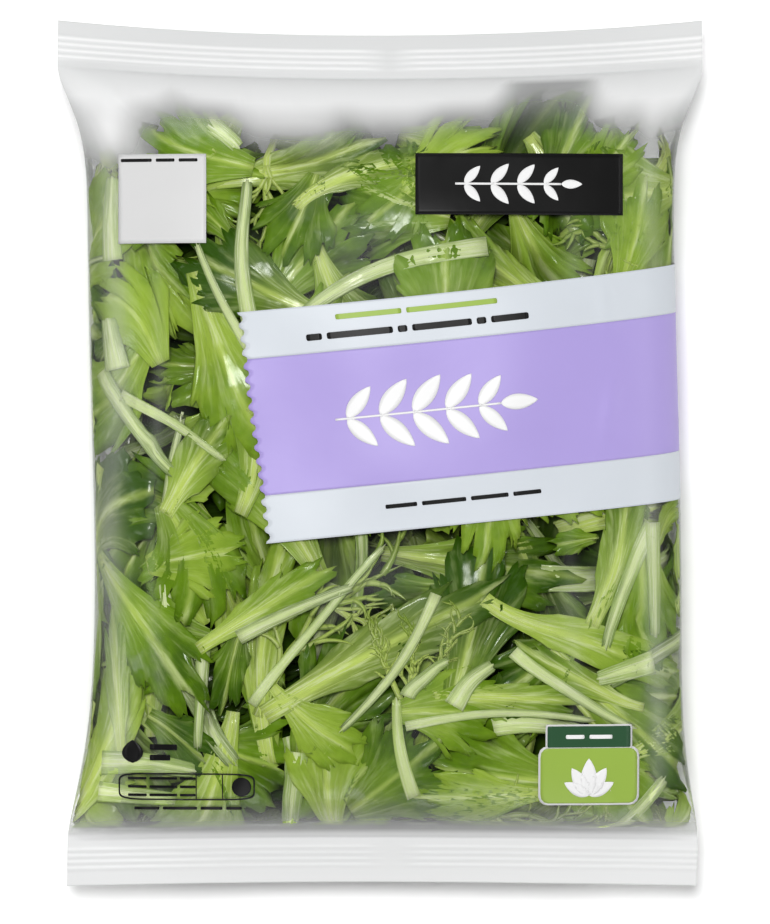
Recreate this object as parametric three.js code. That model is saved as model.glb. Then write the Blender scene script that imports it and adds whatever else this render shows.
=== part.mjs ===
// A pillow bag of salad leaves, lying on its back: one sealed tube of clear film, swollen by the leaves in it.
// Millimetres. X runs across the bag, Y from the bottom seal to the top seal, Z up and out of the printed front.
// The bag rests at Z = 0 on the flat that its own weight presses into the back.
import * as THREE from "three";

// Driving sizes
const LENGTH = 280; // from cut edge to cut edge
const SEAL = 15; // depth of each end seal
const FILM = 0.8; // the two films of a seal, a little thicker than real so that they make a solid
const BELLY_HALF_WIDTH = 94.8; // half the width where the bag is full
const TOP_FLARE = { gain: 9.4, reach: 17.4, power: 1.68 }; // how the sides run out to the top seal
const BOTTOM_FLARE = { gain: 7.0, reach: 27.8, power: 1.49 }; // and to the bottom seal
const LEAN = 2.6; // how far the belly lies off the line between the seals' middles
const SIDE_HEIGHT = 19.5; // height of the side edges and of the seals above the rest
const FRONT_SWELL = 30; // how far the front rises above the side edges
const BACK_SWELL = 24; // how far the back would sink below them if nothing held it up
const TOP_BOW = 5; // how far the middle of the top edge is drawn in
const BOTTOM_BOW = 1.2; // how far the middle of the bottom edge is drawn in
const SEAL_DROOP = 2.5; // how far a cut edge hangs below its seal line
const SEAL_WAVE = 1.3; // wave along a seal, up and down
const RIDGE = { first: 4.5, pitch: 2.0, count: 4, height: 0.35 }; // sealing ridges, counted in from the cut edge
const BACK_SEAM = { middle: 3, width: 10, height: 0.4, step: 0.5 }; // the folded seam down the back
const LUMP = 1.5; // how far the leaves push the film out
const PILLOW_ROWS = 30; // rows of faces between the two seals
const SIDE_COLUMNS = 28; // columns of faces across the bag, closer together at the sides

const SEAL_LINE = LENGTH / 2 - SEAL;
const FRONT_SHAPE = { flat: 2.5, round: 2.0 }; // a wide, nearly flat front that turns down at the sides
const BACK_SHAPE = { flat: 3.0, round: 2.0 };
const SWELL_SHAPE = { flat: 4.0, round: 1.6 }; // the same, from seal to seal
const EDGE_ROUND = 1.15; // beside a seal the front meets the back at a sharp side edge

// Long soft waves that the leaves press into the film: wavelengths across and along, phases and share of LUMP
const LUMP_WAVES = [
  { across: 83, along: 71, turnX: 0.4, turnY: 1.1, share: 0.42 },
  { across: 52, along: 96, turnX: 2.1, turnY: 0.3, share: 0.30 },
  { across: 118, along: 44, turnX: 1.2, turnY: 2.4, share: 0.28 },
];

// Creases in the front, each a soft ridge from one point to another
const CREASES = [
  { from: [-103, 126], to: [-82, 84], height: 1.6, width: 4.5 },
  { from: [-97, 122], to: [-58, 96], height: 1.0, width: 4.0 },
  { from: [102, 126], to: [84, 88], height: 1.6, width: 4.5 },
  { from: [98, 120], to: [62, 98], height: 1.0, width: 4.0 },
  { from: [-99, -124], to: [-84, -84], height: 1.4, width: 5.0 },
  { from: [101, -124], to: [88, -82], height: 1.4, width: 5.0 },
  { from: [-84, 110], to: [84, 110], height: 0.9, width: 4.5 },
];

// 0 at either seal line and 1 where the bag is full
function swell(y) {
  const t = Math.min(Math.abs(y) / SEAL_LINE, 1);
  return Math.pow(1 - Math.pow(t, SWELL_SHAPE.flat), 1 / SWELL_SHAPE.round);
}

// How far a side has run out towards a seal, at this distance inside its seal line
function flare(distance, { gain, reach, power }) {
  return gain * Math.exp(-Math.pow(Math.max(distance, 0) / reach, power));
}

function halfWidth(y) {
  return BELLY_HALF_WIDTH + flare(SEAL_LINE - y, TOP_FLARE) + flare(SEAL_LINE + y, BOTTOM_FLARE);
}

// Where the middle of the bag lies across X: off to one side where the bag is fullest
function middle(y) {
  return LEAN * Math.exp(-Math.pow((y + 45) / 75, 2));
}

// Height of a face over the side edges, from 0 at them to 1 at its crown
function dome(u, y, shape) {
  const round = EDGE_ROUND + (shape.round - EDGE_ROUND) * swell(y);
  return Math.pow(Math.max(1 - Math.pow(Math.abs(u), shape.flat), 0), 1 / round);
}

// The surface halfway between front and back, which is the seal itself beyond the seal lines
function midHeight(u, y) {
  const beyond = Math.max(Math.abs(y) - SEAL_LINE, 0) / SEAL;
  const within = Math.max(SEAL_LINE - Math.abs(y), 0);
  const fade = Math.exp(-Math.pow(within / 22, 2));
  const side = y > 0 ? 1 : -1;
  return SIDE_HEIGHT - SEAL_DROOP * beyond + SEAL_WAVE * fade * Math.sin(4.4 * u + 0.9 * side);
}

// Fine ridges pressed across both seals, which fade where the back seam runs under them
function ridge(u, y) {
  const fromEdge = LENGTH / 2 - Math.abs(y);
  const along = (fromEdge - RIDGE.first) / RIDGE.pitch;
  if (along <= 0 || along >= RIDGE.count) return 0;
  const x = u * halfWidth(y);
  const clear = Math.min(Math.abs(x - BACK_SEAM.middle) / BACK_SEAM.width, 1);
  return RIDGE.height * clear * Math.pow(Math.sin(Math.PI * along), 2);
}

function lump(x, y) {
  const sum = LUMP_WAVES.reduce((total, w) => {
    const across = Math.sin((2 * Math.PI * x) / w.across + w.turnX);
    const along = Math.sin((2 * Math.PI * y) / w.along + w.turnY);
    return total + w.share * (across * along + 0.5 * across);
  }, 0);
  return LUMP * sum;
}

function crease(x, y) {
  const point = new THREE.Vector2(x, y);
  return CREASES.reduce((total, { from, to, height, width }) => {
    const start = new THREE.Vector2(...from);
    const run = new THREE.Vector2(...to).sub(start);
    const t = THREE.MathUtils.clamp(point.clone().sub(start).dot(run) / run.lengthSq(), 0, 1);
    const away = point.distanceTo(start.addScaledVector(run, t));
    return total + height * Math.sin(Math.PI * t) * Math.exp(-Math.pow(away / width, 2));
  }, 0);
}

// The seam down the back stands proud by the thickness of its fold
function seam(u, y) {
  const away = Math.abs(u * BELLY_HALF_WIDTH - BACK_SEAM.middle);
  const inside = (BACK_SEAM.width / 2 - away) / BACK_SEAM.step;
  return BACK_SEAM.height * THREE.MathUtils.clamp(inside + 0.5, 0, 1);
}

// A point of the film: u runs from side edge to side edge, y from the bottom cut edge to the top one
function filmPoint(u, y, front) {
  const x = middle(y) + u * halfWidth(y);
  const fullness = swell(y);
  const pressed = lump(x, y) * fullness * (1 - Math.pow(u, 4));
  const share = y / LENGTH + 0.5;
  const bow = BOTTOM_BOW * Math.pow(1 - share, 3) - TOP_BOW * Math.pow(share, 3);
  const mid = midHeight(u, y);
  const z = front
    ? mid + FILM / 2 + FRONT_SWELL * fullness * dome(u, y, FRONT_SHAPE) + pressed + crease(x, y) + ridge(u, y)
    : mid - FILM / 2 - BACK_SWELL * fullness * dome(u, y, BACK_SHAPE) + 0.4 * pressed - seam(u, y);
  return new THREE.Vector3(x, y + bow * (1 - u * u), Math.max(z, 0));
}

// Rows of faces from cut edge to cut edge: two to each ridge in the seals, and closer together where the pillow rises
function rowPlaces() {
  const ridgeEnd = RIDGE.first + RIDGE.count * RIDGE.pitch;
  const inSeal = [0, RIDGE.first];
  for (let n = 1; n <= 2 * RIDGE.count; n++) inSeal.push(RIDGE.first + (n * RIDGE.pitch) / 2);
  inSeal.push((ridgeEnd + SEAL) / 2);
  const bottom = inSeal.map((depth) => depth - LENGTH / 2);
  const pillow = [];
  for (let n = 0; n <= PILLOW_ROWS; n++) pillow.push(-SEAL_LINE * Math.cos((Math.PI * n) / PILLOW_ROWS));
  return [...bottom, ...pillow, ...bottom.map((y) => -y).reverse()];
}

// Columns from side edge to side edge, with a pair at each edge of the back seam
function columnPlaces() {
  const places = [];
  for (let n = 0; n <= SIDE_COLUMNS; n++) places.push(Math.sin(Math.PI * (n / SIDE_COLUMNS - 0.5)));
  for (const side of [-1, 1])
    for (const half of [-0.5, 0.5])
      places.push(
        (BACK_SEAM.middle + (side * BACK_SEAM.width) / 2 + half * BACK_SEAM.step) / BELLY_HALF_WIDTH,
      );
  return places.sort((a, b) => a - b);
}

function bagGeometry() {
  const rows = rowPlaces();
  const columns = columnPlaces();
  const geometry = new THREE.BoxGeometry(1, 1, 1, columns.length - 1, rows.length - 1, 1);
  const position = geometry.getAttribute("position");
  for (let n = 0; n < position.count; n++) {
    const column = Math.round((position.getX(n) + 0.5) * (columns.length - 1));
    const row = Math.round((position.getY(n) + 0.5) * (rows.length - 1));
    const point = filmPoint(columns[column], rows[row], position.getZ(n) > 0);
    position.setXYZ(n, point.x, point.y, point.z);
  }
  geometry.computeBoundingBox();
  const centre = geometry.boundingBox.getCenter(new THREE.Vector3());
  geometry.translate(-centre.x, -centre.y, -geometry.boundingBox.min.z);
  geometry.computeVertexNormals();
  return geometry;
}

const clearFilm = new THREE.MeshStandardMaterial({ color: 0xdde3d6, roughness: 0.25, metalness: 0 });

const bag = new THREE.Mesh(bagGeometry(), clearFilm);
bag.name = "bag";

const part = new THREE.Group();
part.add(bag);
export default part;
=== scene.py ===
"""A clear bag of cut salad leaves on a white floor: the film, its print and the loose leaves inside it.

Lengths are millimetres until a mesh is made. X runs across the bag, Y from the bottom seal to the top one,
and Z up.
"""
import math

import bmesh
import bpy
import numpy as np
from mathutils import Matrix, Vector


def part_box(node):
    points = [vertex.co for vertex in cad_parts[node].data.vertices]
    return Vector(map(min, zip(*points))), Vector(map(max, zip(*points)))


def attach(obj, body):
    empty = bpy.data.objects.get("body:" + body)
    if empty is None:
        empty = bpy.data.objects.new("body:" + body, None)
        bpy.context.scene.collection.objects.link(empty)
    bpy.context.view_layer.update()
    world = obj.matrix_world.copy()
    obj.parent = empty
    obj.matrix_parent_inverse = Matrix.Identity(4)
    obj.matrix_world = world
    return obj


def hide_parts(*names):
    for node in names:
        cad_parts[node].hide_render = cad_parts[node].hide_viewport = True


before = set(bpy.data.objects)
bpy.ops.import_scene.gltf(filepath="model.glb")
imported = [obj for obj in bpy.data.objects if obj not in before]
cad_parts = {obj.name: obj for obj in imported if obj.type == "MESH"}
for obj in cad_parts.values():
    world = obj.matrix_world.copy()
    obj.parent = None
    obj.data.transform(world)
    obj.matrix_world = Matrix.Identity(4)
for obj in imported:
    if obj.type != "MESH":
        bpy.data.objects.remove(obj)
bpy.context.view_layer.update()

MM = 0.001

# The bag's form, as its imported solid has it
bag_low, bag_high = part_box("bag")
LENGTH = (bag_high.y - bag_low.y) / MM
SEAL_HALF_WIDTH = (bag_high.x - bag_low.x) / 2 / MM
SEAL = 15.0
SEAL_LINE = LENGTH / 2 - SEAL
FILM = 0.8
BELLY_HALF_WIDTH = 94.8
TOP_FLARE = {"gain": SEAL_HALF_WIDTH - BELLY_HALF_WIDTH, "reach": 17.4, "power": 1.68}
BOTTOM_FLARE = {"gain": 7.0, "reach": 27.8, "power": 1.49}
LEAN = {"most": 2.6, "at": -45.0, "reach": 75.0}
SIDE_HEIGHT = 19.5
FRONT_SWELL = 30.0
BACK_SWELL = 24.0
FRONT_FLAT = 2.5
BACK_FLAT = 3.0
BELLY_ROUND = 2.0
EDGE_ROUND = 1.15
SWELL_FLAT = 4.0
SWELL_ROUND = 1.6
TOP_BOW = 5.0
BOTTOM_BOW = 1.2
SEAL_DROOP = 2.5
SEAL_WAVE = {"height": 1.3, "reach": 22.0, "turns": 4.4, "start": 0.9}
RIDGE = {"first": 4.5, "pitch": 2.0, "count": 4, "height": 0.35}
BACK_SEAM = {"middle": 3.0, "width": 10.0, "height": 0.4, "crimp": 1.25}
LUMP = 1.5
LUMP_WAVES = (
    {"across": 83, "along": 71, "turn_x": 0.4, "turn_y": 1.1, "share": 0.42},
    {"across": 52, "along": 96, "turn_x": 2.1, "turn_y": 0.3, "share": 0.30},
    {"across": 118, "along": 44, "turn_x": 1.2, "turn_y": 2.4, "share": 0.28},
)
# Each crease is a soft ridge: start x, y, end x, y, height, width
CREASES = (
    (-103, 126, -82, 84, 1.6, 4.5),
    (-97, 122, -58, 96, 1.0, 4.0),
    (102, 126, 84, 88, 1.6, 4.5),
    (98, 120, 62, 98, 1.0, 4.0),
    (-99, -124, -84, -84, 1.4, 5.0),
    (101, -124, 88, -82, 1.4, 5.0),
    (-84, 110, 84, 110, 0.9, 4.5),
)

# The heap of leaves, in a band between an inner core and the film
CORE_SIDE_DEPTH = 15.0
CORE_KEEP = 0.38  # the core's height over and under the side edges, as a share of the film's
CORE_ENDS = (-113, 92)
CELL = 2.5  # the heap's height is kept in cells of about this size
LEAF_THICKNESS = 0.34
STALK_THICKNESS = 0.9
SEAL_GAP = 4  # how far inside the seal lines the leaves end
GAP_TURN = 4  # over how long a stretch they are turned back from it
PRESS_FROM = 0.7  # the share of its room at which a leaf begins to be pressed down
SINK = 0.5  # how far a leaf sinks into those under it
SPARE_SHARE = 0.17  # filling stops where the emptiest place found has only this share of its room left
# Where the middles of leaves may lie: along the bag, less towards its top corners
HEAP_ENDS = (-119, 98)
CORNER_FROM = 62
CORNER_SLOPE = 0.5


def swell(y):
    """0 at either seal line and 1 where the bag is full."""
    t = np.minimum(np.abs(y) / SEAL_LINE, 1)
    return (1 - t**SWELL_FLAT) ** (1 / SWELL_ROUND)


def flare(distance, form):
    """How far a side has run out towards a seal, at a distance inside its seal line."""
    return form["gain"] * np.exp(-((np.maximum(distance, 0) / form["reach"]) ** form["power"]))


def half_width(y):
    return BELLY_HALF_WIDTH + flare(SEAL_LINE - y, TOP_FLARE) + flare(SEAL_LINE + y, BOTTOM_FLARE)


def middle(y):
    """Where the middle of the bag lies across X."""
    return LEAN["most"] * np.exp(-(((y - LEAN["at"]) / LEAN["reach"]) ** 2))


def dome(u, y, flat):
    """Height of a face over the side edges, from 0 at them to 1 at its crown."""
    turn = EDGE_ROUND + (BELLY_ROUND - EDGE_ROUND) * swell(y)
    return np.maximum(1 - np.abs(u) ** flat, 0) ** (1 / turn)


def mid_height(u, y):
    """The surface halfway between front and back, which is the seal itself beyond the seal lines."""
    beyond = np.maximum(np.abs(y) - SEAL_LINE, 0) / SEAL
    within = np.maximum(SEAL_LINE - np.abs(y), 0)
    fade = np.exp(-((within / SEAL_WAVE["reach"]) ** 2))
    side = np.where(y > 0, 1, -1)
    wave = SEAL_WAVE["height"] * fade * np.sin(SEAL_WAVE["turns"] * u + SEAL_WAVE["start"] * side)
    return SIDE_HEIGHT - SEAL_DROOP * beyond + wave


def ridge(u, y):
    """Fine ridges pressed across both seals, which fade where the back seam runs under them."""
    along = (LENGTH / 2 - np.abs(y) - RIDGE["first"]) / RIDGE["pitch"]
    inside = (along > 0) & (along < RIDGE["count"])
    clear = np.minimum(np.abs(u * half_width(y) - BACK_SEAM["middle"]) / BACK_SEAM["width"], 1)
    return np.where(inside, RIDGE["height"] * clear * np.sin(math.pi * along) ** 2, 0)


def lump(x, y):
    total = np.zeros_like(x)
    for wave in LUMP_WAVES:
        across = np.sin(2 * math.pi * x / wave["across"] + wave["turn_x"])
        along = np.sin(2 * math.pi * y / wave["along"] + wave["turn_y"])
        total = total + wave["share"] * (across * along + 0.5 * across)
    return LUMP * total


def folds(x, y, creases):
    """The height that a list of soft ridges adds."""
    total = np.zeros_like(x)
    for x0, y0, x1, y1, height, width in creases:
        run_x, run_y = x1 - x0, y1 - y0
        t = np.clip(((x - x0) * run_x + (y - y0) * run_y) / (run_x**2 + run_y**2), 0, 1)
        away = np.hypot(x - x0 - t * run_x, y - y0 - t * run_y)
        total = total + height * np.sin(math.pi * t) * np.exp(-((away / width) ** 2))
    return total


def film_point(u, y, front, wrinkles=()):
    """Points of the film: u from side edge to side edge, y from cut edge to cut edge."""
    x = middle(y) + u * half_width(y)
    fullness = swell(y)
    pressed = lump(x, y) * fullness * (1 - u**4)
    share = y / LENGTH + 0.5
    bow = BOTTOM_BOW * (1 - share) ** 3 - TOP_BOW * share**3
    between = mid_height(u, y)
    over = between + FILM / 2 + FRONT_SWELL * fullness * dome(u, y, FRONT_FLAT) + pressed
    over = over + folds(x, y, CREASES) + ridge(u, y) + folds(x, y, wrinkles)
    under = between - FILM / 2 - BACK_SWELL * fullness * dome(u, y, BACK_FLAT) + 0.4 * pressed
    under = np.maximum(under, BACK_SEAM["height"])
    return np.stack([x, y + bow * (1 - u * u), np.where(front, over, under)], axis=-1)


def fine_wrinkles():
    """Small creases that run in from both seals and lie along the sides, drawn from a fixed seed."""
    draw = np.random.default_rng(5)
    creases = []
    for end, count in ((1, 17), (-1, 15)):
        for n in range(count):
            x = -92 + 184 * (n + draw.uniform(-0.4, 0.4)) / (count - 1)
            reach = draw.uniform(12, 34)
            height = draw.uniform(0.25, 0.7)
            width = draw.uniform(1.6, 3.2)
            inner_x = x * draw.uniform(0.8, 0.97)
            creases.append((x, end * (SEAL_LINE - 1), inner_x, end * (SEAL_LINE - 1 - reach), height, width))
    for side in (-1, 1):
        for n in range(9):
            y = draw.uniform(-100, 100)
            x = side * draw.uniform(70, 86)
            reach = draw.uniform(12, 30)
            lean = draw.uniform(-6, 6)
            creases.append((x, y, x + lean, y + reach, draw.uniform(0.3, 0.8), draw.uniform(1.5, 3.0)))
    return tuple(creases)


WRINKLES = fine_wrinkles()


# Places on the film are given by how far round it they lie, as on the flat tube: -1 to 1 over the front from
# the left side edge to the right one, and 1 to 3 round the back.
GIRTH_ROWS = np.linspace(-LENGTH / 2, LENGTH / 2, 71)
GIRTH_STEPS = np.linspace(-1, 1, 161)


def girth_table(front):
    """For each row, the u of equal steps along the film from side edge to side edge."""
    u = np.sin(np.linspace(-math.pi / 2, math.pi / 2, 401))
    table = []
    lengths = []
    for y in GIRTH_ROWS:
        points = film_point(u, np.full_like(u, y), front)
        steps = np.linalg.norm(np.diff(points, axis=0), axis=1)
        run = np.concatenate([[0], np.cumsum(steps)])
        lengths.append(run[-1])
        table.append(np.interp(GIRTH_STEPS, 2 * run / run[-1] - 1, u))
    return np.array(table), float(np.mean(lengths)) / 2


FRONT_TABLE, HALF_FLAT = girth_table(True)
BACK_TABLE, _ = girth_table(False)


def between_cells(cells, row, column):
    """A grid's values at places between its cells. Its columns run round, from the last to the first."""
    low, left = row.astype(int), np.floor(column).astype(int)
    past_low, past_left = row - low, column - left
    left, right = left % cells.shape[1], (left + 1) % cells.shape[1]
    under = cells[low, left] * (1 - past_left) + cells[low, right] * past_left
    over = cells[low + 1, left] * (1 - past_left) + cells[low + 1, right] * past_left
    return under * (1 - past_low) + over * past_low


def from_table(table, s, y):
    """u at girth place s of row y, between the table's steps."""
    row = np.clip((y / LENGTH + 0.5) * (len(GIRTH_ROWS) - 1), 0, len(GIRTH_ROWS) - 1.001)
    step = np.clip((s + 1) / 2 * (len(GIRTH_STEPS) - 1), 0, len(GIRTH_STEPS) - 1.001)
    return between_cells(table, row, step)


def on_film(flat_x, y, wrinkles=()):
    """Points of the film at flat places, in millimetres across the flat tube from the middle of its front."""
    girth = (flat_x / HALF_FLAT + 1) % 4 - 1
    front = girth <= 1
    s = np.where(front, girth, 2 - girth)
    u = np.where(front, from_table(FRONT_TABLE, s, y), from_table(BACK_TABLE, s, y))
    return film_point(u, y, front, wrinkles)


def flat_x(x, y):
    """The flat place across the front that lies at x in the view from above."""
    rows = GIRTH_STEPS * 0 + y
    seen = middle(rows) + from_table(FRONT_TABLE, GIRTH_STEPS, rows) * half_width(rows)
    return float(np.interp(x, seen, GIRTH_STEPS * HALF_FLAT))


def core_point(outer):
    """The point of the inner core under a point of the film."""
    x, y, z = outer[..., 0], outer[..., 1], outer[..., 2]
    centre = middle(y)
    inner_x = centre + (x - centre) * (1 - CORE_SIDE_DEPTH / half_width(y))
    inner_z = SIDE_HEIGHT + (z - SIDE_HEIGHT) * CORE_KEEP
    return np.stack([inner_x, y, inner_z], axis=-1)


# Meshes


def mesh_of(name, shape):
    mesh = bpy.data.meshes.new(name)
    shape.to_mesh(mesh)
    shape.free()
    return mesh


def put_in_scene(name, data):
    thing = bpy.data.objects.new(name, data)
    bpy.context.scene.collection.objects.link(thing)
    return thing


def piece_of(name, mesh, points, marks):
    """A piece whose vertices lie at points and carry marks, the numbers that its material reads."""
    mesh.vertices.foreach_set("co", (points * MM).ravel())
    for mark, values in marks.items():
        mesh.attributes.new(mark, "FLOAT", "POINT").data.foreach_set("value", values)
    mesh.update()
    mesh.shade_smooth()
    return put_in_scene(name, mesh)


def lay_sheets(name, sheets):
    """One mesh of many grids. A sheet is its points, rows by columns, and marks for its material."""
    shape = bmesh.new()
    for points, _ in sheets:
        rows, columns = points.shape[:2]
        bmesh.ops.create_grid(shape, x_segments=columns - 1, y_segments=rows - 1, size=1)
    places = np.concatenate([points.reshape(-1, 3) for points, _ in sheets])
    marks = {mark: np.concatenate([np.ravel(own[mark]) for _, own in sheets]) for mark in sheets[0][1]}
    return piece_of(name, mesh_of(name, shape), places, marks)


def thicken(piece, thickness, offset):
    modifier = piece.modifiers.new("thickness", "SOLIDIFY")
    modifier.thickness = thickness * MM
    modifier.offset = offset


def dress(piece, material):
    """Gives a piece its finish and lets it stand for the bag's solid."""
    piece.data.materials.append(material)
    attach(piece, "root")
    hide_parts("bag")


# Materials


class Value:
    """A shader socket whose arithmetic adds Math nodes."""

    def __init__(self, paint, socket):
        self.paint = paint
        self.socket = socket

    def __add__(self, other):
        return self.paint.reckon("ADD", self, other)

    def __radd__(self, other):
        return self.paint.reckon("ADD", other, self)

    def __sub__(self, other):
        return self.paint.reckon("SUBTRACT", self, other)

    def __rsub__(self, other):
        return self.paint.reckon("SUBTRACT", other, self)

    def __mul__(self, other):
        return self.paint.reckon("MULTIPLY", self, other)

    def __rmul__(self, other):
        return self.paint.reckon("MULTIPLY", other, self)


class Paint:
    """A material under construction."""

    def __init__(self, name):
        self.material = bpy.data.materials.new(name)
        self.material.use_nodes = True
        self.tree = self.material.node_tree
        self.tree.nodes.clear()

    def node(self, kind, settings=None, sockets=None, output=0):
        made = self.tree.nodes.new(kind)
        for key, value in (settings or {}).items():
            setattr(made, key, value)
        for key, value in (sockets or {}).items():
            if isinstance(value, Value):
                self.tree.links.new(value.socket, made.inputs[key])
            else:
                made.inputs[key].default_value = value
        return Value(self, made.outputs[output])

    def mark(self, name):
        """A number that each vertex of the piece carries."""
        return self.node("ShaderNodeAttribute", {"attribute_name": name}, output="Fac")

    def blend(self, factor, first, second):
        """A colour between two colours."""
        return self.node(
            "ShaderNodeMix",
            {"data_type": "RGBA", "clamp_factor": True},
            {0: factor, 6: first, 7: second},
            output=2,
        )

    def ease(self, value, low, high):
        """0 below low, 1 above high, and a smooth step between."""
        return self.node(
            "ShaderNodeMapRange",
            {"interpolation_type": "SMOOTHSTEP"},
            {"Value": value, "From Min": low, "From Max": high},
        )

    def reckon(self, operation, *numbers):
        """The answer of a Math node."""
        return self.node("ShaderNodeMath", {"operation": operation}, dict(enumerate(numbers)))

    def place(self):
        return self.node("ShaderNodeTexCoord", output="Object")

    def noise(self, vector, scale, detail=3.0, roughness=0.5):
        return self.node(
            "ShaderNodeTexNoise",
            None,
            {"Vector": vector, "Scale": scale, "Detail": detail, "Roughness": roughness},
        )

    def bump(self, height, strength, distance):
        return self.node(
            "ShaderNodeBump", None, {"Height": height, "Strength": strength, "Distance": distance}
        )

    def solid(self, colour, roughness, specular, more=None):
        """A solid surface. More holds what else is set on its shader."""
        look = {"Base Color": colour, "Roughness": roughness, "Specular IOR Level": specular}
        return self.node("ShaderNodeBsdfPrincipled", None, {**look, **(more or {})})

    def mix(self, share, first, second):
        """The first shader, with a share of it given over to the second."""
        return self.node("ShaderNodeMixShader", None, {0: share, 1: first, 2: second})

    def finish(self, shader):
        output = self.tree.nodes.new("ShaderNodeOutputMaterial")
        self.tree.links.new(shader.socket, output.inputs["Surface"])
        return self.material


PALE_RIB = (0.70, 0.82, 0.24, 1)
STALK_PALE = (0.84, 0.94, 0.50, 1)
BLADE_LIGHT = (0.42, 0.57, 0.08, 1)
BLADE_MID = (0.21, 0.36, 0.014, 1)
BLADE_DARK = (0.055, 0.14, 0.001, 1)
# painted shade for leaves that lie low in the heap
PAINTED_DEPTH_SHADE = (0.03, 0.07, 0.001, 1)
THROUGH_LEAF = (0.50, 0.66, 0.04, 1)
STREAK = (0.93, 0.97, 0.72, 1)
# painted shade: the deep heap's colours, darker than any leaf
DEEP_SHADE_DARK = (0.012, 0.035, 0.001, 1)
DEEP_SHADE_LIGHT = (0.05, 0.12, 0.004, 1)
# SEAL_WHITE greys the haze in the seals and, as painted shade, near them and the side edges
SEAL_WHITE = (0.61, 0.615, 0.615, 1)
FILM_WHITE = (0.82, 0.82, 0.82, 1)


def leaf_material(name, paleness):
    """Fresh leaf: a moist green blade with pale veins from its base, which lets some light through, darkened
    with painted shade where it lies low in the heap.
    """
    paint = Paint(name)
    side = paint.mark("side")
    along = paint.mark("along")
    rib = paint.mark("rib")
    pale = paint.mark("pale")
    tone = paint.mark("tone")
    lift = paint.mark("lift")
    place = paint.place()
    away = paint.reckon("ABSOLUTE", side)
    spread = paint.node("ShaderNodeCombineXYZ", None, {0: side * 7, 1: along * 0.07, 2: tone * 40})
    grain = paint.noise(spread, 1.0, 3, 0.6)
    patches = paint.noise(place, 65, 3, 0.6)
    near_rib = 1 - paint.ease(away, rib * 0.1, rib * 1.4 + grain * 0.12)
    lines = paint.reckon("SINE", side * 13 + grain * 2.4 + tone * 30)
    veins = paint.ease(lines, 0.82, 1.0) * 0.22
    depth = tone * 0.95 + patches * 1.0 - 0.54 + paint.ease(along, 12, 60) * 0.25
    blade = paint.blend(paint.ease(depth, 0.0, 0.5), BLADE_LIGHT, BLADE_MID)
    blade = paint.blend(paint.ease(depth, 0.45, 1.0), blade, BLADE_DARK)
    fine = paint.ease(grain, 0.42, 0.75) * 0.2
    light = near_rib * 0.5 + veins * (pale + 0.2) + fine + pale * (0.8 + paleness) - 0.08
    light = paint.reckon("MINIMUM", light, 1)
    colour = paint.blend(light, blade, PALE_RIB if paleness < 0.5 else STALK_PALE)
    streaks = paint.ease(grain, 0.46, 0.64) * light * (0.45 + paleness * 0.7)
    colour = paint.blend(streaks, colour, STREAK)
    # painted shade: the lower a leaf lies in the heap, the further its colour is darkened towards the shade
    # colour
    colour = paint.blend(paint.ease(lift, 0.22, 0.92), PAINTED_DEPTH_SHADE, colour)
    normal = paint.bump(near_rib * 0.4 + veins * 0.5 + grain * 0.7 + patches * 2.0, 0.6, 0.0008)
    wet = paint.ease(patches, 0.5, 0.62) * 0.9
    body = paint.solid(colour, 0.5, 0.2, {"Coat Weight": wet, "Coat Roughness": 0.16, "Normal": normal})
    through = paint.node("ShaderNodeBsdfTranslucent", None, {"Color": THROUGH_LEAF, "Normal": normal})
    return paint.finish(paint.mix(0.25, body, through))


def core_material():
    """The depth of the heap, glimpsed between leaves: it stands for the leaves deep inside, in greens darker
    than any leaf as painted shade.
    """
    paint = Paint("deep leaves")
    place = paint.place()
    patches = paint.noise(place, 90, 4, 0.6)
    # painted shade in dark-green patches
    colour = paint.blend(paint.ease(patches, 0.35, 0.65), DEEP_SHADE_DARK, DEEP_SHADE_LIGHT)
    normal = paint.bump(patches, 0.8, 0.003)
    return paint.finish(paint.solid(colour, 0.8, 0.05, {"Normal": normal}))


def film_material():
    """Clear film: see-through, glossy, and milky where the vertices say so, its haze greyed with painted
    shade and lightened with painted highlights where they say so.
    """
    paint = Paint("clear film")
    clear = paint.node("ShaderNodeBsdfTransparent", None, {"Color": (0.985, 0.99, 0.985, 1)})
    # the haze colour carries painted shade near the seals and side edges and painted highlights on the top
    # seal's ridges
    haze = paint.solid(paint.blend(paint.mark("open"), SEAL_WHITE, FILM_WHITE), 0.55, 0.08)
    gloss = paint.node("ShaderNodeBsdfGlossy", None, {"Color": (1, 1, 1, 1), "Roughness": 0.14})
    body = paint.mix(paint.mark("milk"), clear, haze)
    mirror = paint.node("ShaderNodeFresnel", None, {"IOR": 1.45})
    shine = paint.reckon("MAXIMUM", (mirror - 0.03) * 0.6, 0)
    return paint.finish(paint.mix(shine, body, gloss))


def print_material(name, colour):
    """Ink under gloss film: a faint unevenness in the colour and soft wrinkles in the gloss."""
    paint = Paint(name)
    place = paint.place()
    uneven = paint.noise(place, 30, 3, 0.5)
    shade = tuple(0.93 * part for part in colour[:3]) + (1,)
    ink = paint.blend(uneven, shade, colour)
    normal = paint.bump(paint.noise(place, 45, 3, 0.5), 0.25, 0.0012)
    return paint.finish(paint.solid(ink, 0.42, 0.3, {"Normal": normal}))


def floor_material():
    paint = Paint("white floor")
    return paint.finish(paint.solid((0.95, 0.95, 0.95, 1), 0.9, 0.5))


# The film

FILM_COLUMNS = 150
FILM_ROWS = 230
# How milky the film is where it hangs free, beside a seal, in a seal, and how much more on the back
FREE_MILK = 0.70
SEAL_SIDE_MILK = 0.55
SEAL_MILK = 0.40
BACK_MILK = 0.15
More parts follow.
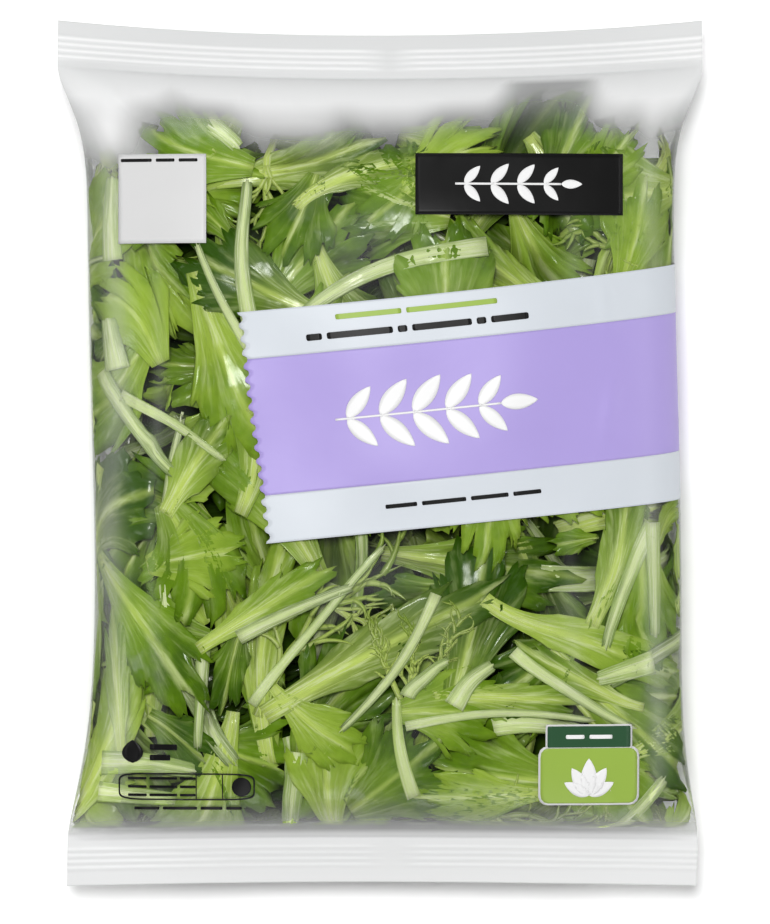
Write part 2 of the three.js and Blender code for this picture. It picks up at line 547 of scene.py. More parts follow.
# How far inside a seal its milkiness reaches, and how far inside seals and side edges the film's haze is
# greyed with painted shade
MILK_REACH = {"top": 12, "bottom": 8}
EDGE_SHADE_LENGTH = 25
EDGE_SHADE_SIDE = 0.12
# Painted highlights: soft pale streaks of milkiness down both sides, where the bending film would catch the
# side lamps: place across, width, strength
HIGHLIGHT_BANDS = ((-86.0, 4.5, 0.20), (-72.0, 2.0, 0.07), (88.5, 3.5, 0.16), (62.0, 2.5, 0.05))


def shell(name, columns, rows, place):
    """A closed thin box of faces, each vertex put where place says from its column, row and face."""
    shape = bmesh.new()
    bmesh.ops.create_grid(shape, x_segments=columns, y_segments=rows, size=1)
    bmesh.ops.solidify(shape, geom=list(shape.faces), thickness=0.1)
    mesh = mesh_of(name, shape)
    raw = np.empty(len(mesh.vertices) * 3)
    mesh.vertices.foreach_get("co", raw)
    raw = raw.reshape(-1, 3)
    front = raw[:, 2] > raw[:, 2].mean()
    column = np.rint((np.clip(raw[:, 0], -1, 1) + 1) / 2 * columns) / columns
    row = np.rint((np.clip(raw[:, 1], -1, 1) + 1) / 2 * rows) / rows
    return piece_of(name, mesh, *place(column, row, front))


def clear_of_edges(u, y):
    """From 0 at the seals and the side edges, where the film's haze is greyed with painted shade, to 1 well
    inside them.
    """
    return np.minimum((SEAL_LINE - np.abs(y)) / EDGE_SHADE_LENGTH, (1 - np.abs(u)) / EDGE_SHADE_SIDE)


def milkiness(u, y, cover):
    """How milky the film looks: most in the seals and where it hangs free of the leaves, with painted
    highlights as soft pale streaks down both sides.
    """
    within = SEAL_LINE - np.abs(y)
    sealed = np.clip(1 - within / 2.0, 0, 1)
    reach = np.where(y > 0, MILK_REACH["top"], MILK_REACH["bottom"])
    beside = np.exp(-((np.maximum(within, 0) / reach) ** 2))
    free = np.maximum(1 - cover, sealed)
    x = middle(y) + u * half_width(y)
    bands = 0.0
    # painted highlights: soft pale streaks down both sides
    for at, width, strength in HIGHLIGHT_BANDS:
        bands = bands + strength * np.exp(-(((x - at - 1.5 * np.sin(y / 19)) / width) ** 2))
    cloud = np.sin(x / 13 + 1.3 * np.sin(y / 17)) * np.sin(y / 19 + 1.1 * np.sin(x / 11 + 2))
    cloud = 0.06 * np.clip(cloud - 0.25, 0, 1)
    belly = 1 / (1 + np.exp((np.abs(y) - 112) / 4))
    milk = FREE_MILK * free + SEAL_SIDE_MILK * beside + SEAL_MILK * sealed
    return np.clip(milk + (bands + cloud) * belly, 0, 1)


# Rows of the film lie closer together in the seals, where the ridges are: shares of the rows, and their y
FILM_ROW_PLACES = (0.0, 0.16, 0.84, 1.0)
FILM_ROW_ENDS = (-LENGTH / 2, -SEAL_LINE + 1, SEAL_LINE - 1, LENGTH / 2)


def make_film(material, heap):
    def place(column, row, front):
        y = np.interp(row, FILM_ROW_PLACES, FILM_ROW_ENDS)
        u = np.sin((column - 0.5) * math.pi)
        points = film_point(u, y, front, WRINKLES)
        ridged = ridge(u, y) / RIDGE["height"]
        milk = milkiness(u, y, heap.cover(np.where(front, u, 2 - u) * HALF_FLAT, y))
        marks = {
            "milk": np.where(front, milk, np.minimum(milk + BACK_MILK, 1)),
            # painted shade greys the haze near the seals and side edges; painted highlights lighten it on the
            # top seal's ridges, and painted light keeps the bottom seal and the stretch above it from going
            # as grey
            "open": np.clip(clear_of_edges(u, y), np.where(y < 0, 0.28, 0.6 * ridged), 1),
        }
        return points, marks

    piece = shell("film", FILM_COLUMNS, FILM_ROWS, place)
    dress(piece, material)
    return piece


def make_back_seam(material):
    """The two edges of the film, sealed together and folded flat down the back, with fine crimps."""

    def place(column, row, inner):
        x = BACK_SEAM["middle"] + (column - 0.5) * BACK_SEAM["width"]
        y = (row - 0.5) * LENGTH
        u = x / half_width(y)
        points = film_point(u, y, False)
        crimp = 0.5 + 0.5 * np.cos(2 * math.pi * x / BACK_SEAM["crimp"])
        points[:, 2] -= np.where(inner, 0.05, BACK_SEAM["height"] - 0.1 * crimp)
        return points, {"milk": 0.3 + 0.2 * crimp, "open": np.clip((SEAL_LINE - np.abs(y)) / 3, 0, 1)}

    piece = shell("back_seam", 24, 140, place)
    dress(piece, material)


# The print. Each printed shape is a thin sheet of ink on the film, built up of rows between two edges.

INK = 0.05
# How far the ink stands off the film: what lies lowest, over that, and on top
UNDER = 0.12
OVER = 0.22
TOP = 0.32
BAND_TURN = math.radians(5.8)
BAND_HALF = 37.7
LILAC_HALF = 22.2
BAND_LEFT = (-41.2, 8.5)
NOTCH = {"count": 17, "radius": 1.5}


def raised(place, across, along, height):
    """Points standing off the film by a height, along its outward normal."""
    step = 0.2
    points = place(across, along)
    by_across = place(across + step, along) - place(across - step, along)
    by_along = place(across, along + step) - place(across, along - step)
    normal = np.cross(by_across, by_along)
    return points + normal / np.linalg.norm(normal, axis=-1, keepdims=True) * height


def seen_place(x, y):
    """Points of the front of the film that lie at x and y in the view from above."""
    share = y / LENGTH + 0.5
    u = np.clip((x - middle(y)) / half_width(y), -1, 1)
    bow = BOTTOM_BOW * (1 - share) ** 3 - TOP_BOW * share**3
    return film_point(u, y - bow * (1 - u * u), True, WRINKLES)


def band_place(p, q):
    """Points of the film at places on the slanted band: along it from its left edge, and across it."""
    flat = flat_x(*BAND_LEFT) + p * math.cos(BAND_TURN) - q * math.sin(BAND_TURN)
    y = BAND_LEFT[1] + p * math.sin(BAND_TURN) + q * math.cos(BAND_TURN)
    return on_film(flat, y, WRINKLES)


def plate(place, centre, half, corner=0.0, height=UNDER, grain=1.5):
    """A rectangle with round corners. Half is half its width and half its height."""
    rows = max(int(2 * half[1] / grain), 10 if corner else 2)
    columns = max(int(2 * half[0] / grain), 4)
    v = np.linspace(0, 1, rows + 1)
    y = -half[1] * np.cos(math.pi * v) if corner else half[1] * (2 * v - 1)
    into = np.maximum(np.abs(y) - (half[1] - corner), 0)
    reach = half[0] - corner + np.sqrt(np.maximum(corner**2 - into**2, 0.0004))
    if not corner:
        reach = np.full_like(y, half[0])
    return inked(place, centre, reach, y, columns, height, 0)


def leaf_shape(place, base, turn, length, half, height):
    """A plain pointed leaf, from its base in the direction of turn, which is measured from straight up."""
    v = np.linspace(0, 1, 15)
    reach = half * np.sin(math.pi * v**0.85) ** 0.8 + 0.02
    return inked(place, base, reach, v * length, 4, height, turn)


def inked(place, centre, reach, y, columns, height, turn):
    """Rows at y, each running its own reach to both sides, turned about a centre and laid on the film."""
    t = np.linspace(-1, 1, columns + 1)
    x = reach[:, None] * t[None, :]
    y = np.repeat(y[:, None], columns + 1, axis=1)
    across = centre[0] + x * math.cos(turn) + y * math.sin(turn)
    along = centre[1] - x * math.sin(turn) + y * math.cos(turn)
    return raised(place, across, along, height), {}


def bars(place, left, y, lengths, thick, height, gap=1.6):
    """A line of short bars, as a line of print looks from far off."""
    made = []
    for length in lengths:
        half = (length / 2, thick / 2)
        made.append(plate(place, (left + half[0], y), half, thick * 0.3, height, 1.2))
        left += length + gap
    return made


def ring(place, centre, half, line, height):
    """An outline with round corners, as one strip that runs round and meets itself."""
    turns = np.linspace(0, 2 * math.pi, 97)
    power = 0.32
    x = np.sign(np.cos(turns)) * np.abs(np.cos(turns)) ** power
    y = np.sign(np.sin(turns)) * np.abs(np.sin(turns)) ** power
    across = centre[0] + np.stack([x * half[0], x * (half[0] - line)], axis=1)
    along = centre[1] + np.stack([y * half[1], y * (half[1] - line)], axis=1)
    return raised(place, across, along, height), {}


def band_field(low, high):
    """One field of the band, from its scalloped left edge round the right side to the seam on the back."""
    pitch = 2 * BAND_HALF / NOTCH["count"]
    q = np.linspace(low, high, math.ceil((high - low) * 6 / pitch + 0.5))
    from_notch = (q + BAND_HALF) % pitch - pitch / 2
    left = np.sqrt(np.maximum(NOTCH["radius"] ** 2 - from_notch**2, 0))
    seam = (2 - (BACK_SEAM["middle"] + BACK_SEAM["width"] / 2) / BELLY_HALF_WIDTH) * HALF_FLAT
    right = (seam - flat_x(*BAND_LEFT) + q * math.sin(BAND_TURN)) / math.cos(BAND_TURN)
    t = np.linspace(0, 1, 141)[None, :]
    p = left[:, None] + (right - left)[:, None] * t
    return raised(band_place, p, np.repeat(q[:, None], t.size, axis=1), UNDER), {}


def sprig(place, left, y, pairs, pitch, length, height):
    """A stem with pairs of plain leaves and one at its tip."""
    run = pitch * pairs
    made = [plate(place, (left + run / 2, y), (run / 2, 0.35), 0, height)]
    for n in range(pairs):
        size = length * (0.75 + 0.25 * math.sin(math.pi * (n + 0.7) / pairs))
        for hand in (-1, 1):
            base = (left + pitch * (n + 0.35), y + hand * 0.2)
            turn = math.radians(90 - hand * 48)
            made.append(leaf_shape(place, base, turn, size, size * 0.2, height))
    made.append(leaf_shape(place, (left + run, y), math.radians(90), length * 0.8, length * 0.17, height))
    return made


def make_print():
    lilac = ("print_lilac", print_material("lilac ink", (0.41, 0.342, 0.646, 1)))
    pale = ("print_pale", print_material("pale lavender ink", (0.584, 0.615, 0.652, 1)))
    white = ("print_white", print_material("white ink", (0.61, 0.61, 0.61, 1)))
    bright = ("print_white", print_material("bright white ink", (0.76, 0.76, 0.76, 1)))
    black = ("print_black", print_material("black ink", (0.004, 0.004, 0.004, 1)))
    green = ("print_green", print_material("leaf green ink", (0.313, 0.438, 0.085, 1)))
    dark = ("print_dark_green", print_material("dark green ink", (0.034, 0.10, 0.048, 1)))
    fields = {
        "band_lilac": (lilac, [band_field(-LILAC_HALF, LILAC_HALF)]),
        "band_pale": (
            pale,
            [band_field(LILAC_HALF, BAND_HALF), band_field(-BAND_HALF, -LILAC_HALF)],
        ),
        "band_sprig": (bright, sprig(band_place, 27, 0, 5, 10.5, 15, OVER)),
        "band_green_bars": (green, bars(band_place, 31, 33.3, (21, 29), 1.7, OVER)),
        "band_dark_bars": (
            black,
            bars(band_place, 21, 27.4, (5, 21, 3, 19, 3, 12), 2.1, OVER)
            + bars(band_place, 39, -29.6, (10, 14, 12, 9), 1.3, OVER),
        ),
        "date_square": (white, [plate(seen_place, (-69.8, 81.6), (14.2, 14.4))]),
        "date_bars": (black, bars(seen_place, -83.2, 94.0, (10, 6, 6), 1.0, OVER, 1.4)),
        "name_panel": (black, [plate(seen_place, (44.6, 86.2), (33.3, 9.9))]),
        "name_leaves": (bright, sprig(seen_place, 24, 86.2, 4, 8.5, 8.5, OVER)),
        "weight_mark": (
            black,
            [
                leaf_shape(seen_place, (-79.5, -99.6), 0.0, 7.4, 3.4, UNDER),
                plate(seen_place, (-69.5, -94.4), (4.4, 0.9), 0.3),
                plate(seen_place, (-70.6, -97.8), (3.3, 0.9), 0.3),
            ],
        ),
        "table_outline": (black, [ring(seen_place, (-62.1, -107.2), (22, 4.4), 0.45, UNDER)]),
        "table_bars": (
            black,
            [
                bar
                for y in (-104.5, -107.2, -109.9)
                for bar in bars(seen_place, -81, y, (6, 9, 5), 0.8, UNDER, 0.9)
            ]
            + [plate(seen_place, (x, -107.2), (0.15, 4.0)) for x in (-59.0, -50.5)]
            + [plate(seen_place, (-44.4, -107.2), (3.1, 3.1), 3.1, UNDER, 0.5)]
            + bars(seen_place, -79, -114.2, (8, 11, 7, 5), 0.9, UNDER, 1.2),
        ),
        "badge_border": (
            white,
            [
                plate(seen_place, (67.0, -103.6), (16.3, 9.6), 3.0),
                plate(seen_place, (67.0, -91.2), (14.0, 4.2), 0.8),
            ],
        ),
        "badge_plate": (green, [plate(seen_place, (67.0, -103.6), (15.6, 8.9), 2.5, OVER)]),
        "badge_strip": (dark, [plate(seen_place, (67.0, -91.0), (13.4, 3.4), 0.4, OVER)]),
        "badge_motif": (
            bright,
            [
                leaf_shape(seen_place, (67.0, -110.0), math.radians(turn), size, size * 0.22, TOP)
                for turn, size in ((-62, 9), (-32, 10.5), (0, 12), (32, 10.5), (62, 9))
            ]
            + bars(seen_place, 59.5, -91.0, (6, 7.4), 1.3, TOP),
        ),
    }
    for name, ((slot, ink), sheets) in fields.items():
        piece = lay_sheets(name, sheets)
        thicken(piece, INK, 1)
        dress(piece, ink)


# The heap of leaves

# Places across one tooth, and how deep the bite is there. The teeth of either half lean outward.
LEFT_TOOTH = ((0.0, 1.0), (0.25, 0.0), (0.6, 0.45))
RIGHT_TOOTH = ((0.0, 1.0), (0.4, 0.45), (0.75, 0.0))

# Every kind of leaf. Lengths, half widths and heights are millimetres. Depths and places along it are shares
# of its length.
KINDS = {
    "fan_leaves": {
        "count": 130, "length": (40, 76), "half": (16, 27), "stem": 0.12, "opens": 1.5,
        "widest": 0.85, "rib": 1.4, "rows": 12, "teeth": 14, "lobes": 4.5, "lobe_depth": 0.2,
        "tooth_depth": 0.08, "side_end": 0.52, "flare": 0.22, "ruffle": 2.8, "waves": 2.2,
        "crumple": 2.0, "fold": 0.2, "curl": 0.1, "tips": 1.2, "twist": 0.6, "pale": 1.0,
        "fade": 1.2, "bend": 0.8,
    },
    "frilled_leaves": {
        "count": 115, "length": (28, 54), "half": (13, 23), "stem": 0.2, "opens": 1.0,
        "widest": 0.8, "rib": 0.9, "rows": 10, "teeth": 16, "lobes": 5.5, "lobe_depth": 0.28,
        "tooth_depth": 0.13, "side_end": 0.5, "flare": 0.4, "ruffle": 4.6, "waves": 3.4,
        "crumple": 1.6, "fold": 0.15, "curl": 0.15, "tips": 1.6, "twist": 1.0, "pale": 0.45,
        "fade": 1.3, "bend": 1.2,
    },
    "winged_stalks": {
        "count": 115, "length": (56, 104), "half": (10, 18), "stem": 0.2, "opens": 1.9,
        "widest": 0.9, "rib": 1.9, "rows": 15, "teeth": 12, "lobes": 5, "lobe_depth": 0.18,
        "tooth_depth": 0.07, "side_end": 0.34, "flare": 0.45, "ruffle": 2.2, "waves": 1.8,
        "crumple": 1.2, "fold": 0.25, "curl": 0.1, "tips": 1.2, "twist": 0.7, "pale": 1.3,
        "fade": 1.0, "bend": 0.9,
    },
    "cut_stalks": {
        "count": 95, "length": (28, 84), "half": (1.6, 4.4), "stem": 1.0, "opens": 1.0,
        "widest": 1.0, "rib": 1.2, "rows": 14, "teeth": 3, "lobes": 1, "lobe_depth": 0.0,
        "tooth_depth": 0.05, "side_end": 0.96, "flare": 0.0, "ruffle": 0.3, "waves": 1.0,
        "crumple": 0.9, "fold": 0.35, "curl": 0.45, "tips": 0.0, "twist": 0.6, "pale": 0.75,
        "fade": 0.35, "bend": 0.9,
    },
    "shreds": {
        "count": 120, "length": (12, 38), "half": (4, 11), "stem": 0.3, "opens": 1.1,
        "widest": 0.8, "rib": 0.6, "rows": 8, "teeth": 7, "lobes": 2.5, "lobe_depth": 0.32,
        "tooth_depth": 0.17, "side_end": 0.4, "flare": 0.5, "ruffle": 2.2, "waves": 1.6,
        "crumple": 1.0, "fold": 0.3, "curl": 0.2, "tips": 1.4, "twist": 1.2, "pale": 0.4,
        "fade": 1.2, "bend": 1.2,
    },
    "sprays": {
        "count": 45, "length": (34, 72), "half": (0.9, 1.7), "pale": 1.1, "bend": 1.6,
        "shoots": 9, "rows": 7,
    },
}


def crumpled(across, along, draw):
    """A few soft waves over the face of a leaf, in no set direction."""
    total = np.zeros_like(across)
    for _ in range(3):
        turn = draw.uniform(0, math.pi)
        length = draw.uniform(12, 30)
        run = across * math.cos(turn) + along * math.sin(turn)
        total += np.sin(2 * math.pi * run / length + draw.uniform(0, 2 * math.pi)) / 3
    return total


def far_edge(kind, draw):
    """The veins of a leaf across its width, from -1 to 1, and the share of its length that each reaches."""
    teeth = kind["teeth"]
    edges = np.append(0, np.cumsum(draw.uniform(0.6, 1.4, teeth)))
    edges = 2 * edges / edges[-1] - 1
    across, bite = [], []
    for n in range(teeth):
        depth = draw.uniform(0.3, 1.0)
        for place, share in LEFT_TOOTH if n < teeth / 2 else RIGHT_TOOTH:
            across.append(edges[n] + (edges[n + 1] - edges[n]) * place)
            bite.append(depth * share)
    across = np.array(across + [1.0])
    bite = np.array(bite + [0.6])
    lobe_at = (across + 1) / 2 * kind["lobes"] + draw.uniform(0, 1)
    lobe_size = draw.uniform(0.4, 1.0, int(kind["lobes"]) + 3)[lobe_at.astype(int)]
    notch = lobe_size * np.abs(np.cos(math.pi * lobe_at)) ** 3
    reach = 1 - (1 - kind["side_end"]) * np.abs(across) ** 1.5
    return across, reach * (1 - kind["lobe_depth"] * notch) * (1 - kind["tooth_depth"] * bite)


def blade(kind, length, half, bend, draw):
    """One leaf by itself: its points across, along and up, and the marks that its material reads.

    Its veins run out from its cut base to a toothed far edge.
    """
    t, reach = far_edge(kind, draw)
    v = np.linspace(0, 1, kind["rows"])
    gone = v[:, None] * reach[None, :]
    opening = np.clip(gone / kind["widest"], 0, 1) ** kind["opens"]
    width = half * (kind["stem"] + (1 - kind["stem"]) * opening) * (1 - 0.4 * gone * (kind["stem"] == 1))
    rib = np.minimum(kind["rib"] * (1 - 0.7 * gone), width)
    steps = np.linspace(0, 1, 60)
    turn = bend * (steps - 0.5) + 0.3 * bend * draw.uniform(-1, 1) * np.sin(2 * math.pi * steps)
    spine_x = np.cumsum(np.sin(turn)) * length / 60
    spine_y = np.cumsum(np.cos(turn)) * length / 60
    heading = np.interp(gone, steps, turn)
    across = t * width * (1 + kind["flare"] * v[:, None] ** 4)
    fold = kind["fold"] * draw.uniform(-0.6, 1)
    curl = kind["curl"] * draw.choice([-1, 1, 1]) * draw.uniform(0.4, 1.2)
    ruffle = np.sin(math.pi * kind["waves"] * t + draw.uniform(0, 6))
    ruffle = ruffle + 0.4 * np.sin(9 * t + draw.uniform(0, 6))
    up = kind["ruffle"] * v[:, None] ** 1.8 * ruffle[None, :]
    up = up + np.abs(across) * fold + width * curl * np.abs(t) ** 3
    up = up + 0.6 * rib * np.exp(-((across / rib) ** 2))
    up = up + kind["crumple"] * crumpled(across, gone * length, draw)
    up = up + kind["tips"] * v[:, None] ** 4 * draw.normal(0, 1, len(t))
    lean = kind["twist"] * draw.uniform(-1, 1) * (gone - draw.uniform(0.2, 0.8))
    up = up + across * np.sin(lean) + draw.uniform(-1.5, 2.5) * np.sin(math.pi * gone)
    across = across * np.cos(lean)
    x = np.interp(gone, steps, spine_x) - spine_x.mean() + across * np.cos(heading)
    y = np.interp(gone, steps, spine_y) - spine_y.mean() - across * np.sin(heading)
    pale = kind["pale"] * draw.uniform(0.6, 1.15) * np.clip(1 - gone * kind["fade"], 0, 1) ** 1.3
    marks = {
        "side": np.repeat(t[None, :], len(v), axis=0),
        "along": gone * length,
        "rib": rib / width,
        "pale": pale * (1 - 0.5 * t * t),
        "tone": np.full(x.shape, draw.uniform(0, 1)),
    }
    marks = {name: values[None] for name, values in marks.items()}
    return x[None], y[None], (up - up.min())[None], marks


def shoot(base, heading, length, half, bend, rows):
    """A pointed strip from a base: its three columns of points, and its middle line with headings."""
    v = np.linspace(0, 1, rows)
    turn = heading + bend * v
    step = length / (rows - 1)
    x = base[0] + np.append(0, np.cumsum(np.sin(turn[:-1]))) * step
    y = base[1] + np.append(0, np.cumsum(np.cos(turn[:-1]))) * step
    wide = half * (1 - v**1.5) ** 0.7 + 0.12
    out = np.array([-1, 0, 1])[None, :] * wide[:, None]
    return (
        x[:, None] + out * np.cos(turn)[:, None],
        y[:, None] - out * np.sin(turn)[:, None],
        (x, y, turn),
    )


def on_line(line, share):
    """The x, y and heading of a middle line at a share of its length."""
    return [np.interp(share, np.linspace(0, 1, len(run)), run) for run in line]


def spray(kind, length, half, bend, draw):
    """A thin branched leaf: a stem, side shoots along it, and small shoots of theirs."""
    rows = kind["rows"]
    strips = [shoot((0, -length / 2), -bend / 2, length, half, bend, rows) + (0.0, 0.0)]
    for n in range(kind["shoots"]):
        v = 0.22 + 0.75 * n / kind["shoots"]
        hand = 1 if n % 2 else -1
        *start, turn = on_line(strips[0][2], v)
        reach = length * draw.uniform(0.2, 0.42) * (1.15 - 0.5 * v)
        heading = turn + hand * draw.uniform(0.25, 0.6)
        slope = draw.uniform(-0.1, 0.35)
        side = shoot(start, heading, reach, half * 0.6, draw.uniform(-1.4, 1.4), rows)
        strips.append(side + (slope, 0.0))
        for m in (0.4, 0.7):
            *base, turn = on_line(side[2], m)
            turn += draw.uniform(-0.7, 0.7)
            tip = shoot(base, turn, reach * draw.uniform(0.3, 0.6), half * 0.4, draw.normal(), rows)
            strips.append(tip + (slope * 1.4, reach * m))
    v = np.linspace(0, 1, rows)[:, None]
    x = np.stack([strip[0] for strip in strips])
    y = np.stack([strip[1] for strip in strips])
    up = np.stack([0 * strip[0] + strip[3] * (strip[4] + v * 8) for strip in strips])
    up = up + 0.8 * crumpled(x, y, draw)
    gone = y / length + 0.5
    marks = {
        "side": np.broadcast_to(np.array([-0.5, 0, 0.5]), x.shape),
        "along": gone * length,
        "rib": np.full(x.shape, 0.3),
        "pale": kind["pale"] * draw.uniform(0.6, 1.1) * np.clip(1 - gone, 0, 1),
        "tone": np.full(x.shape, draw.uniform(0, 0.25)),
    }
    return x, y, up - up.min(), marks


def leaf(kind, *form):
    return spray(kind, *form) if "shoots" in kind else blade(kind, *form)


class Heap:
    """The height that the leaves have reached over the core, in cells of the flat tube."""

    def __init__(self):
        self.across = int(4 * HALF_FLAT / CELL)
        self.along = int(2 * SEAL_LINE / CELL)
        flat = (np.arange(self.across) + 0.5) / self.across * 4 * HALF_FLAT - HALF_FLAT
        y = (np.arange(self.along) + 0.5) / self.along * 2 * SEAL_LINE - SEAL_LINE
        self.flat, self.y = np.meshgrid(flat, y, indexing="ij")
        outer = on_film(self.flat, self.y)
        self.room = np.linalg.norm(outer - core_point(outer), axis=-1)
        self.height = np.zeros_like(self.room)
        self.peak = np.zeros_like(self.room)
        corner = np.maximum(np.abs(outer[..., 0]) - CORNER_FROM, 0) * CORNER_SLOPE
        self.open = (self.y > HEAP_ENDS[0]) & (self.y < HEAP_ENDS[1] - corner)

    def cell(self, flat, y):
        column = ((flat + HALF_FLAT) / (4 * HALF_FLAT) * self.across).astype(int) % self.across
        row = np.clip(((y + SEAL_LINE) / (2 * SEAL_LINE) * self.along).astype(int), 0, self.along - 1)
        return column, row

    def smooth(self, top):
        """A soft surface over a field of heights."""
        for axis in (0, 1):
            top = np.maximum(top, np.maximum(np.roll(top, 1, axis), np.roll(top, -1, axis)))
        for _ in range(2):
            for axis in (0, 1):
                top = (np.roll(top, 1, axis) + 2 * top + np.roll(top, -1, axis)) / 4
        return top

    def lowest(self, draw, tries=14):
        """Of some places drawn at random, the one with the largest share of its room left."""
        best = None
        for _ in range(tries):
            column = draw.integers(self.across)
            row = draw.integers(self.along)
            if not self.open[column, row]:
                continue
            around = (slice(max(column - 2, 0), column + 3), slice(max(row - 2, 0), row + 3))
            left = 1 - (self.height[around] / self.room[around]).mean()
            if best is None or left > best[0]:
                best = (left, self.flat[column, row], self.y[column, row])
        return best

    def settle(self, x, y, up, at, heading, sink):
        """Lays a leaf over those already there, into them by sink, and says where its points lie."""
        cos, sin = math.cos(heading), math.sin(heading)
        flat = at[0] + x * cos + y * sin
        far = at[1] - x * sin + y * cos
        far = SEAL_LINE - SEAL_GAP - ease_in(SEAL_LINE - SEAL_GAP - far, GAP_TURN)
        far = ease_in(far + SEAL_LINE - SEAL_GAP, GAP_TURN) - SEAL_LINE + SEAL_GAP
        column, row = self.cell(flat, far)
        under = self.smooth(self.height if sink else self.peak + 0.5)[column, row]
        under = under.mean() + (under - under.mean()) * (1 - 0.6 * sink)
        np.maximum.at(self.height, (column, row), under + up * (1 - sink) + LEAF_THICKNESS)
        np.maximum.at(self.peak, (column, row), under + up)
        room = self.room[column, row]
        height = pressed(under + up, room)
        return np.stack([flat, far, height], axis=-1), np.clip(height / room, 0, 1)

    def cover(self, flat, y):
        """1 where leaves lie under the film and 0 where none do, with the small gaps between them filled."""
        full = self.room > np.where(self.y > 0, 9, 3)
        share = (full & (self.peak > 0.3 * self.room)).astype(float)
        for pick in 3 * [np.maximum] + 3 * [np.minimum] + 4 * [halfway]:
            share = with_neighbours(share, pick)
        column = (flat + HALF_FLAT) / (4 * HALF_FLAT) * self.across - 0.5
        row = np.clip((y + SEAL_LINE) / (2 * SEAL_LINE) * self.along - 0.5, 0, self.along - 1.001)
        return between_cells(share.T, row, column)


def halfway(first, second):
    return (first + second) / 2


def with_neighbours(cells, pick):
    """Each cell as pick chooses from it and the cells beside it: round the bag, but not past its seals."""
    around = pick(cells, pick(np.roll(cells, 1, 0), np.roll(cells, -1, 0)))
    chosen = around.copy()
    chosen[:, 1:] = pick(chosen[:, 1:], around[:, :-1])
    chosen[:, :-1] = pick(chosen[:, :-1], around[:, 1:])
    return chosen


def ease_in(distance, soft):
    """A distance from a limit, kept from falling under nought, with a soft turn."""
    return np.where(distance > soft, distance, soft * np.exp(np.minimum(distance - soft, 0) / soft))


def pressed(height, room):
    """Height over the core where the film holds the heap down: as it was low down, never up to the film."""
    start = PRESS_FROM * room
    spare = room - start
    return np.where(height > start, start + spare * (1 - np.exp(-(height - start) / spare)), height)


def to_bag(laid):
    """From flat place, y and height over the core to a point in the bag."""
    outer = on_film(laid[..., 0], laid[..., 1])
    inner = core_point(outer)
    gap = outer - inner
    room = np.linalg.norm(gap, axis=-1)
    share = np.clip(laid[..., 2] / room, 0, 1 - 0.7 / np.maximum(room, 1.4))
    return inner + gap * share[..., None]


# Leaves that the photo shows plainly: kind, base x and y, tip x and y, half width, bend
SHOWN = (
    ("cut_stalks", (-73, 117), (-44, 101), 4, 0.6),
    ("frilled_leaves", (-40, 92), (-84, 108), 16, 0.3),
    ("winged_stalks", (-30, 84), (24, 100), 10, 1.2),
    ("frilled_leaves", (18, 96), (-8, 72), 14, 0.3),
    ("fan_leaves", (52, 80), (70, 119), 14, 0.2),
    ("frilled_leaves", (66, 80), (86, 110), 12, 0.2),
    ("frilled_leaves", (78, 54), (88, 92), 15, -0.2),
    ("frilled_leaves", (-20, 92), (-34, 60), 15, 0.2),
    ("cut_stalks", (-87, 62), (-87, 90), 4, 0.2),
    ("cut_stalks", (-42, 33), (-60, 69), 1.8, 0.2),
    ("cut_stalks", (-42, 36), (-44, 91), 3, 0.2),
    ("cut_stalks", (-85, 27), (-88, 44), 5, 0.0),
    ("cut_stalks", (-91, 27), (-65, -9), 3, -0.4),
    ("cut_stalks", (-84, 20), (-48, -2), 2, 0.2),
    ("winged_stalks", (-70, -20), (-48, 14), 14, 0.1),
    ("fan_leaves", (-92, -28), (-53, -88), 20, 0.25),
    ("winged_stalks", (-84, -99), (-87, -47), 9, 0.1),
    ("frilled_leaves", (-76, -36), (-40, -30), 15, 0.1),
    ("winged_stalks", (-59, -63), (-12, -34), 12, 0.1),
    ("cut_stalks", (-46, -59), (-8, -42), 2.5, 0.2),
    ("cut_stalks", (-42, -81), (2, -28), 1.8, 0.2),
    ("cut_stalks", (20, -46), (-12, -92), 2.0, 0.4),
    ("winged_stalks", (-38, -84), (45, -39), 17, 0.1),
    ("cut_stalks", (10, -112), (4, -78), 2.4, 0.4),
    ("cut_stalks", (8, -78), (22, -66), 2.6, 1.0),
    ("sprays", (7, -80), (-2, -52), 0.9, 0.3),
    ("sprays", (8, -82), (10, -54), 0.9, -0.3),
    ("sprays", (14, -76), (26, -50), 0.8, -0.3),
    ("fan_leaves", (-36, -76), (-4, -100), 15, -0.4),
    ("cut_stalks", (23, -81), (36, -67), 3.5, 0.4),
    ("cut_stalks", (87, -22), (71, -64), 3.0, -0.4),
    ("cut_stalks", (88, -22), (89, -60), 3.0, 0.0),
    ("winged_stalks", (86, -84), (40, -60), 8, 0.6),
    ("cut_stalks", (41, -64), (84, -91), 2.2, -0.4),
    ("cut_stalks", (89, -67), (69, -73), 4.0, 0.0),
    ("winged_stalks", (16, -78), (71, -80), 9, 0.1),
    ("cut_stalks", (7, -86), (71, -84), 1.6, 0.35),
    ("cut_stalks", (-91, -99), (-58, -102), 4, 0.2),
    ("cut_stalks", (-92, -109), (-65, -112), 3.4, 0.0),
    ("fan_leaves", (66, -88), (88, -124), 18, 0.0),
    ("fan_leaves", (58, -110), (8, -112), 14, 0.1),
)


